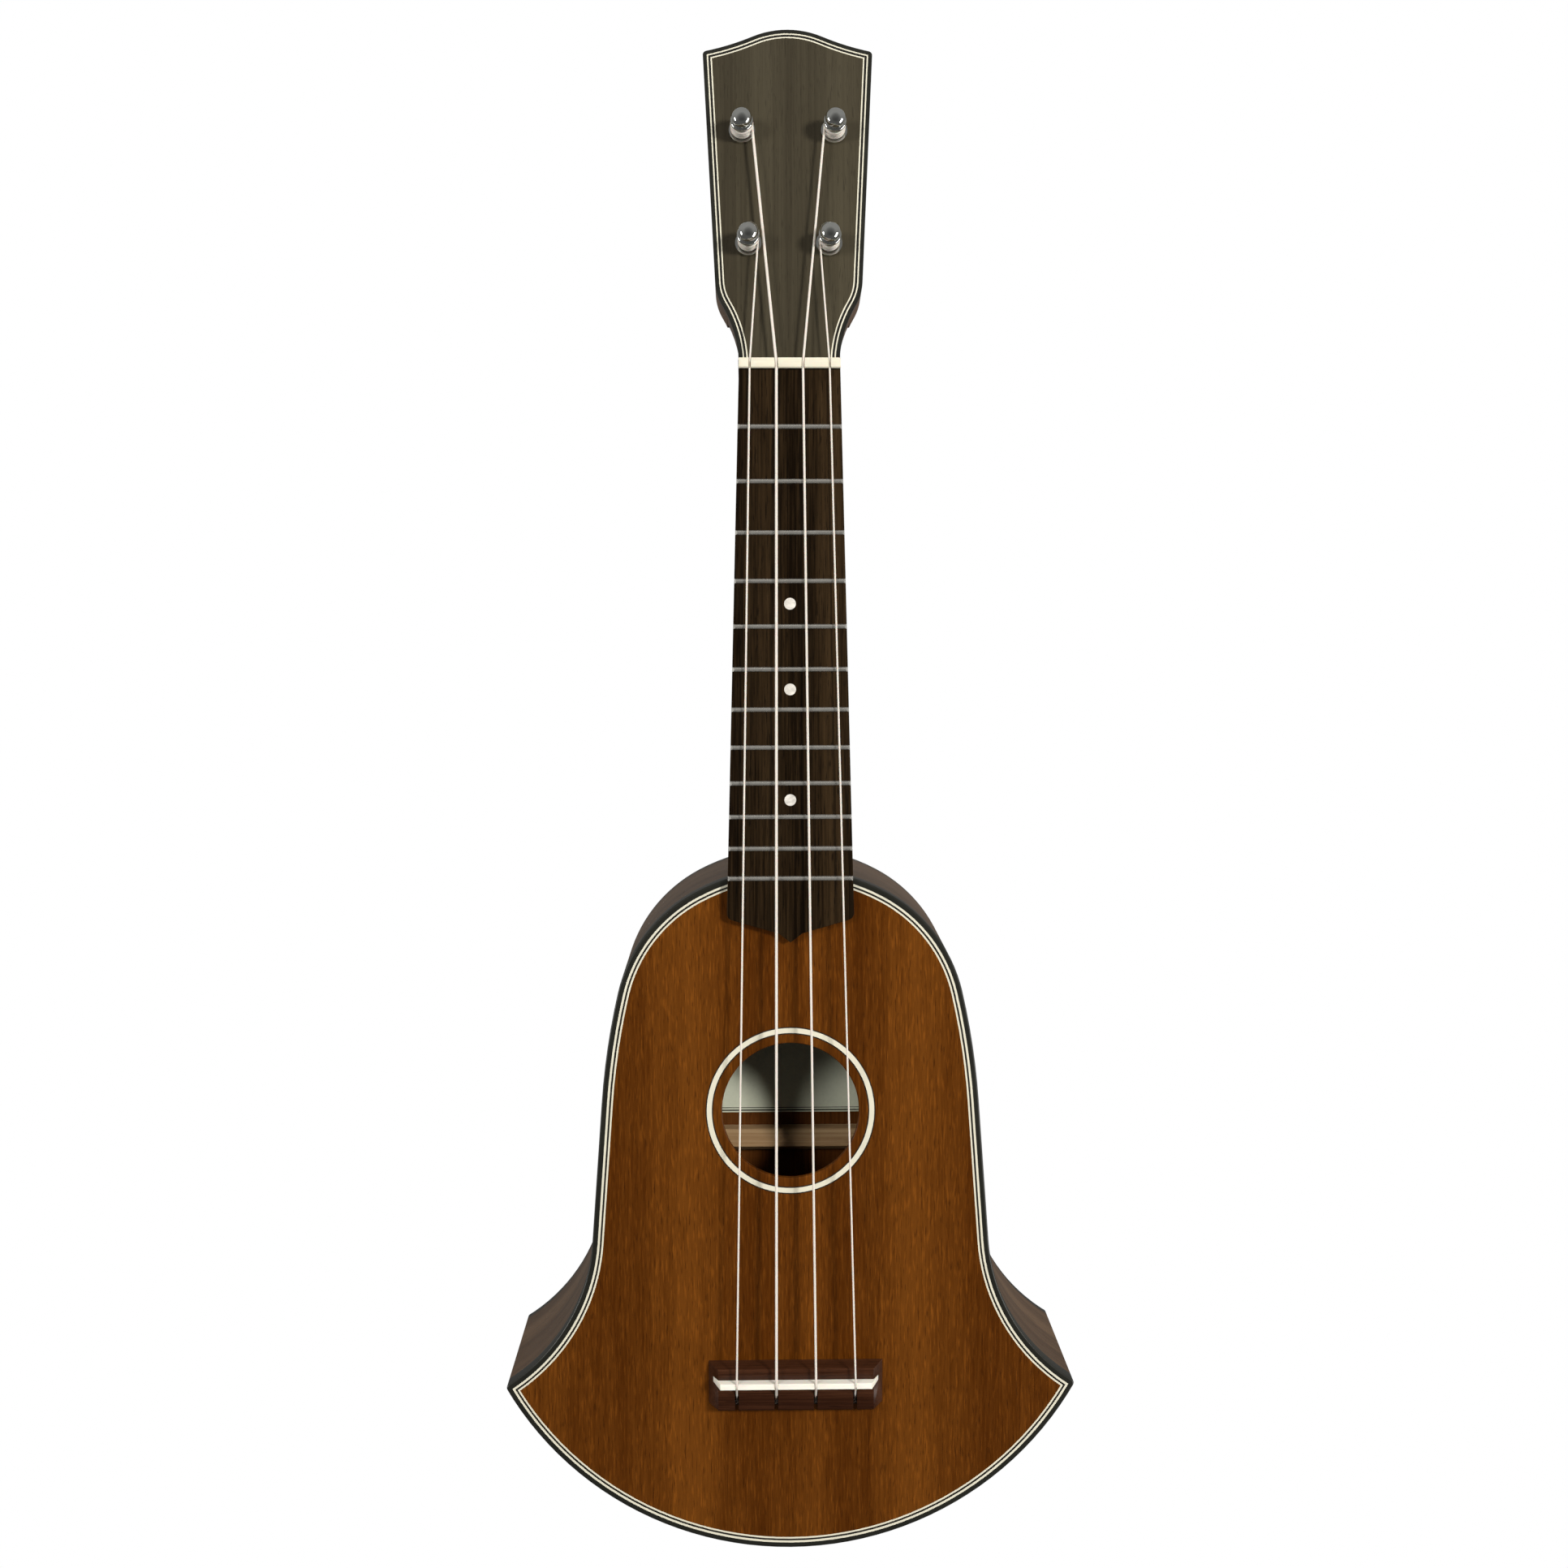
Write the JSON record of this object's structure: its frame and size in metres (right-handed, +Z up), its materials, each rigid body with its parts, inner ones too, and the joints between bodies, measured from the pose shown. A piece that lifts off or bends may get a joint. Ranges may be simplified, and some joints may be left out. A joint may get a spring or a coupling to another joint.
{
  "type": "soprano ukulele",
  "caption": "Bell-shaped soprano ukulele with a mahogany body, purfled edges, slotted bridge, bound headstock and rear friction pegs.",
  "frame": {"origin": "on the centre line, on the top plane of the neck and soundboard, at the fingerboard edge of the nut, where a wall hanger carries the neck", "axes": "+Z up the neck towards the headstock, -Y out of the front past the strings, +X to the right seen from the front"},
  "size_m": [0.199, 0.0762, 0.5318],
  "materials": {
    "top_wood": "satin open-pored mahogany",
    "back_wood": "satin mahogany",
    "side_wood": "satin stained mahogany",
    "inner_wood": "bare spruce",
    "dark_binding": "dark, low gloss",
    "cream_trim": "cream, satin",
    "black_trim": "black, satin",
    "paper": "plain printed paper, matte",
    "neck_wood": "satin stained mahogany",
    "board_wood": "oiled rosewood",
    "headplate_wood": "satin dark veneer",
    "bridge_wood": "oiled rosewood",
    "fret_metal": "polished nickel silver",
    "pearl": "pearl",
    "bone": "polished bone colour",
    "nylon": "translucent white nylon",
    "chrome": "polished",
    "button_plastic": "cream, glossy",
    "fibre_washer": "black fibre"
  },
  "bodies": {
    "instrument": {"soundboard": "top_wood", "back_plate": "back_wood", "left_side": "side_wood", "right_side": "side_wood", "bottom_side": "side_wood", "neck_block": "inner_wood", "tail_block": "inner_wood", "corner_blocks": "inner_wood", "top_linings": "inner_wood", "back_linings": "inner_wood", "upper_top_brace": "inner_wood", "lower_top_brace": "inner_wood", "fan_braces": "inner_wood", "bridge_plate": "inner_wood", "upper_back_brace": "inner_wood", "middle_back_brace": "inner_wood", "lower_back_brace": "inner_wood", "top_binding": "dark_binding", "top_purfling_white": "cream_trim", "top_purfling_black": "black_trim", "back_binding": "dark_binding", "rosette_ring": "cream_trim", "rosette_black_rings": "black_trim", "label": "paper", "neck": "neck_wood", "neck_dowels": "inner_wood", "heel_cap": "dark_binding", "fretboard": "board_wood", "frets": "fret_metal", "position_dots": "pearl", "nut": "bone", "headplate": "headplate_wood", "headstock_binding": "dark_binding", "headstock_purfling_white": "cream_trim", "headstock_purfling_black": "black_trim", "bridge": "bridge_wood", "saddle": "bone", "g_string": "nylon", "c_string": "nylon", "e_string": "nylon", "a_string": "nylon", "front_ferrules": "chrome", "rear_bushings": "chrome", "friction_washers": "fibre_washer"},
    "g_peg": {"g_post": "chrome", "g_winding": "nylon", "g_button": "button_plastic", "g_button_screw": "chrome"},
    "c_peg": {"c_post": "chrome", "c_winding": "nylon", "c_button": "button_plastic", "c_button_screw": "chrome"},
    "e_peg": {"e_post": "chrome", "e_winding": "nylon", "e_button": "button_plastic", "e_button_screw": "chrome"},
    "a_peg": {"a_post": "chrome", "a_winding": "nylon", "a_button": "button_plastic", "a_button_screw": "chrome"}
  },
  "joints": [
    {"name": "g_peg_turn", "type": "hinge", "parent": "instrument", "child": "g_peg", "pos_m": [-0.0138, 0.0085, 0.04351], "axis": [0, 0.9781, -0.2079], "continuous": true},
    {"name": "c_peg_turn", "type": "hinge", "parent": "instrument", "child": "c_peg", "pos_m": [-0.0159, 0.01697, 0.08332], "axis": [0, 0.9781, -0.2079], "continuous": true},
    {"name": "e_peg_turn", "type": "hinge", "parent": "instrument", "child": "e_peg", "pos_m": [0.0159, 0.01697, 0.08332], "axis": [0, 0.9781, -0.2079], "continuous": true},
    {"name": "a_peg_turn", "type": "hinge", "parent": "instrument", "child": "a_peg", "pos_m": [0.0138, 0.0085, 0.04351], "axis": [0, 0.9781, -0.2079], "continuous": true}
  ]
}
